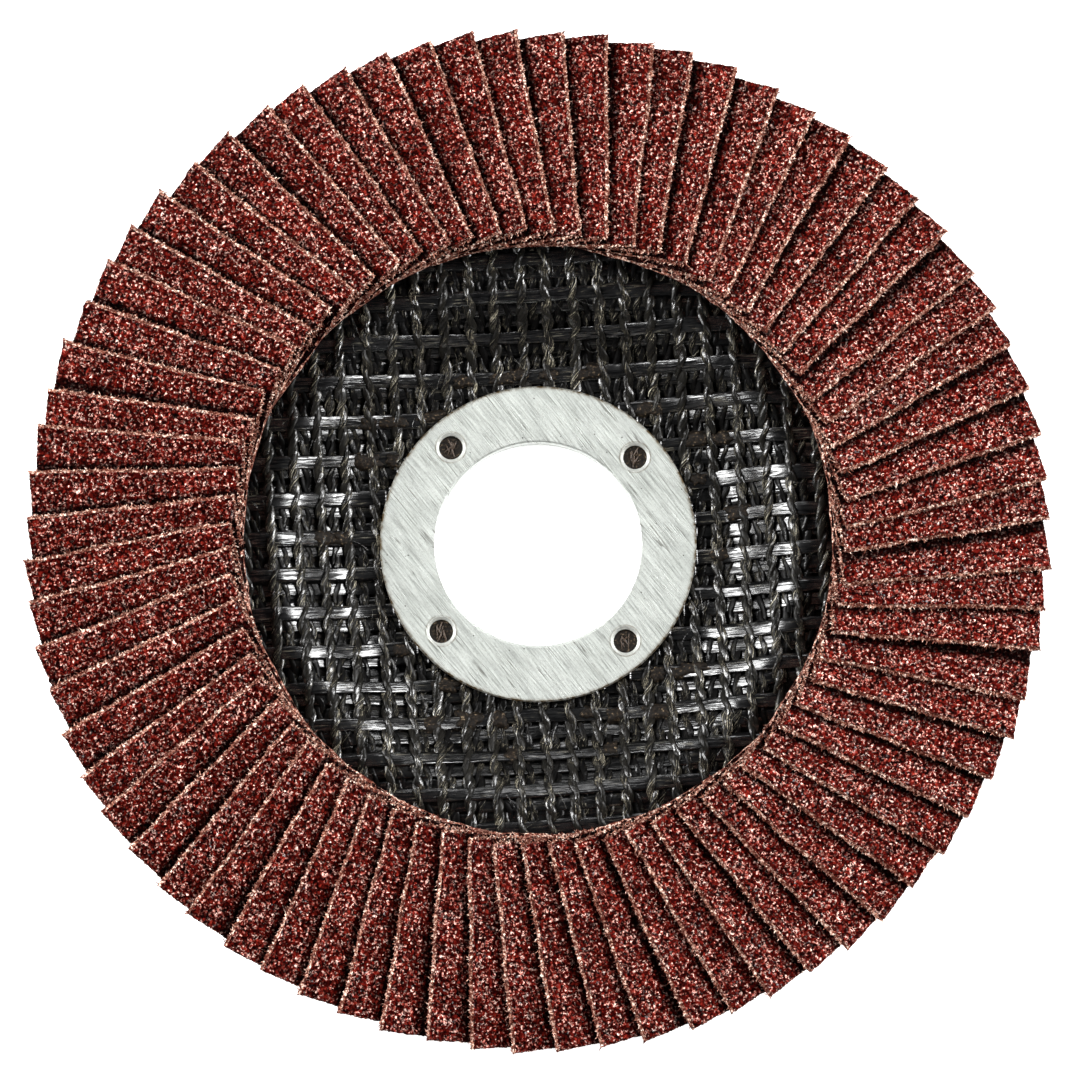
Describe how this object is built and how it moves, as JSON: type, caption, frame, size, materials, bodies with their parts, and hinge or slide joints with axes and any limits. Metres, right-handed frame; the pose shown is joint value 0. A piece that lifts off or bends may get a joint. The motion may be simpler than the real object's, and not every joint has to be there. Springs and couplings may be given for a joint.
{
  "type": "flap disc",
  "caption": "Conical grinding disc of overlapping abrasive-cloth flaps bonded to a dished glass-fibre plate with a steel-lined spindle bore.",
  "frame": {"origin": "centre of the spindle bore, in the plane of the hub's back seating face", "axes": "+Z along the bore, from the back seating face towards the abrasive face; +X is an arbitrary direction across the disc"},
  "size_m": [0.112, 0.112, 0.0136],
  "materials": {
    "ring_steel": "zinc-plated, finely scratched",
    "glass_resin": "glass mesh soaked in black phenolic resin, part gloss",
    "adhesive": "set epoxy, matte",
    "label_paper": "matte, unprinted",
    "abrasive_cloth": "coarse brown-red aluminium-oxide grain on cloth"
  },
  "bodies": {
    "root": {"hub_ring": "ring_steel", "glass_ply_back": "glass_resin", "glass_ply_inner_back": "glass_resin", "glass_ply_inner_front": "glass_resin", "glass_ply_front": "glass_resin", "adhesive_bed": "adhesive", "back_label": "label_paper", "flap_pair_01": "abrasive_cloth", "flap_pair_02": "abrasive_cloth", "flap_pair_03": "abrasive_cloth", "flap_pair_04": "abrasive_cloth", "flap_pair_05": "abrasive_cloth", "flap_pair_06": "abrasive_cloth", "flap_pair_07": "abrasive_cloth", "flap_pair_08": "abrasive_cloth", "flap_pair_09": "abrasive_cloth", "flap_pair_10": "abrasive_cloth", "flap_pair_11": "abrasive_cloth", "flap_pair_12": "abrasive_cloth", "flap_pair_13": "abrasive_cloth", "flap_pair_14": "abrasive_cloth", "flap_pair_15": "abrasive_cloth", "flap_pair_16": "abrasive_cloth", "flap_pair_17": "abrasive_cloth", "flap_pair_18": "abrasive_cloth", "flap_pair_19": "abrasive_cloth", "flap_pair_20": "abrasive_cloth", "flap_pair_21": "abrasive_cloth", "flap_pair_22": "abrasive_cloth", "flap_pair_23": "abrasive_cloth", "flap_pair_24": "abrasive_cloth", "flap_pair_25": "abrasive_cloth", "flap_pair_26": "abrasive_cloth", "flap_pair_27": "abrasive_cloth", "flap_pair_28": "abrasive_cloth", "flap_pair_29": "abrasive_cloth", "flap_pair_30": "abrasive_cloth", "flap_pair_31": "abrasive_cloth", "flap_pair_32": "abrasive_cloth", "flap_pair_33": "abrasive_cloth", "flap_pair_34": "abrasive_cloth", "flap_pair_35": "abrasive_cloth", "flap_pair_36": "abrasive_cloth"}
  },
  "joints": []
}
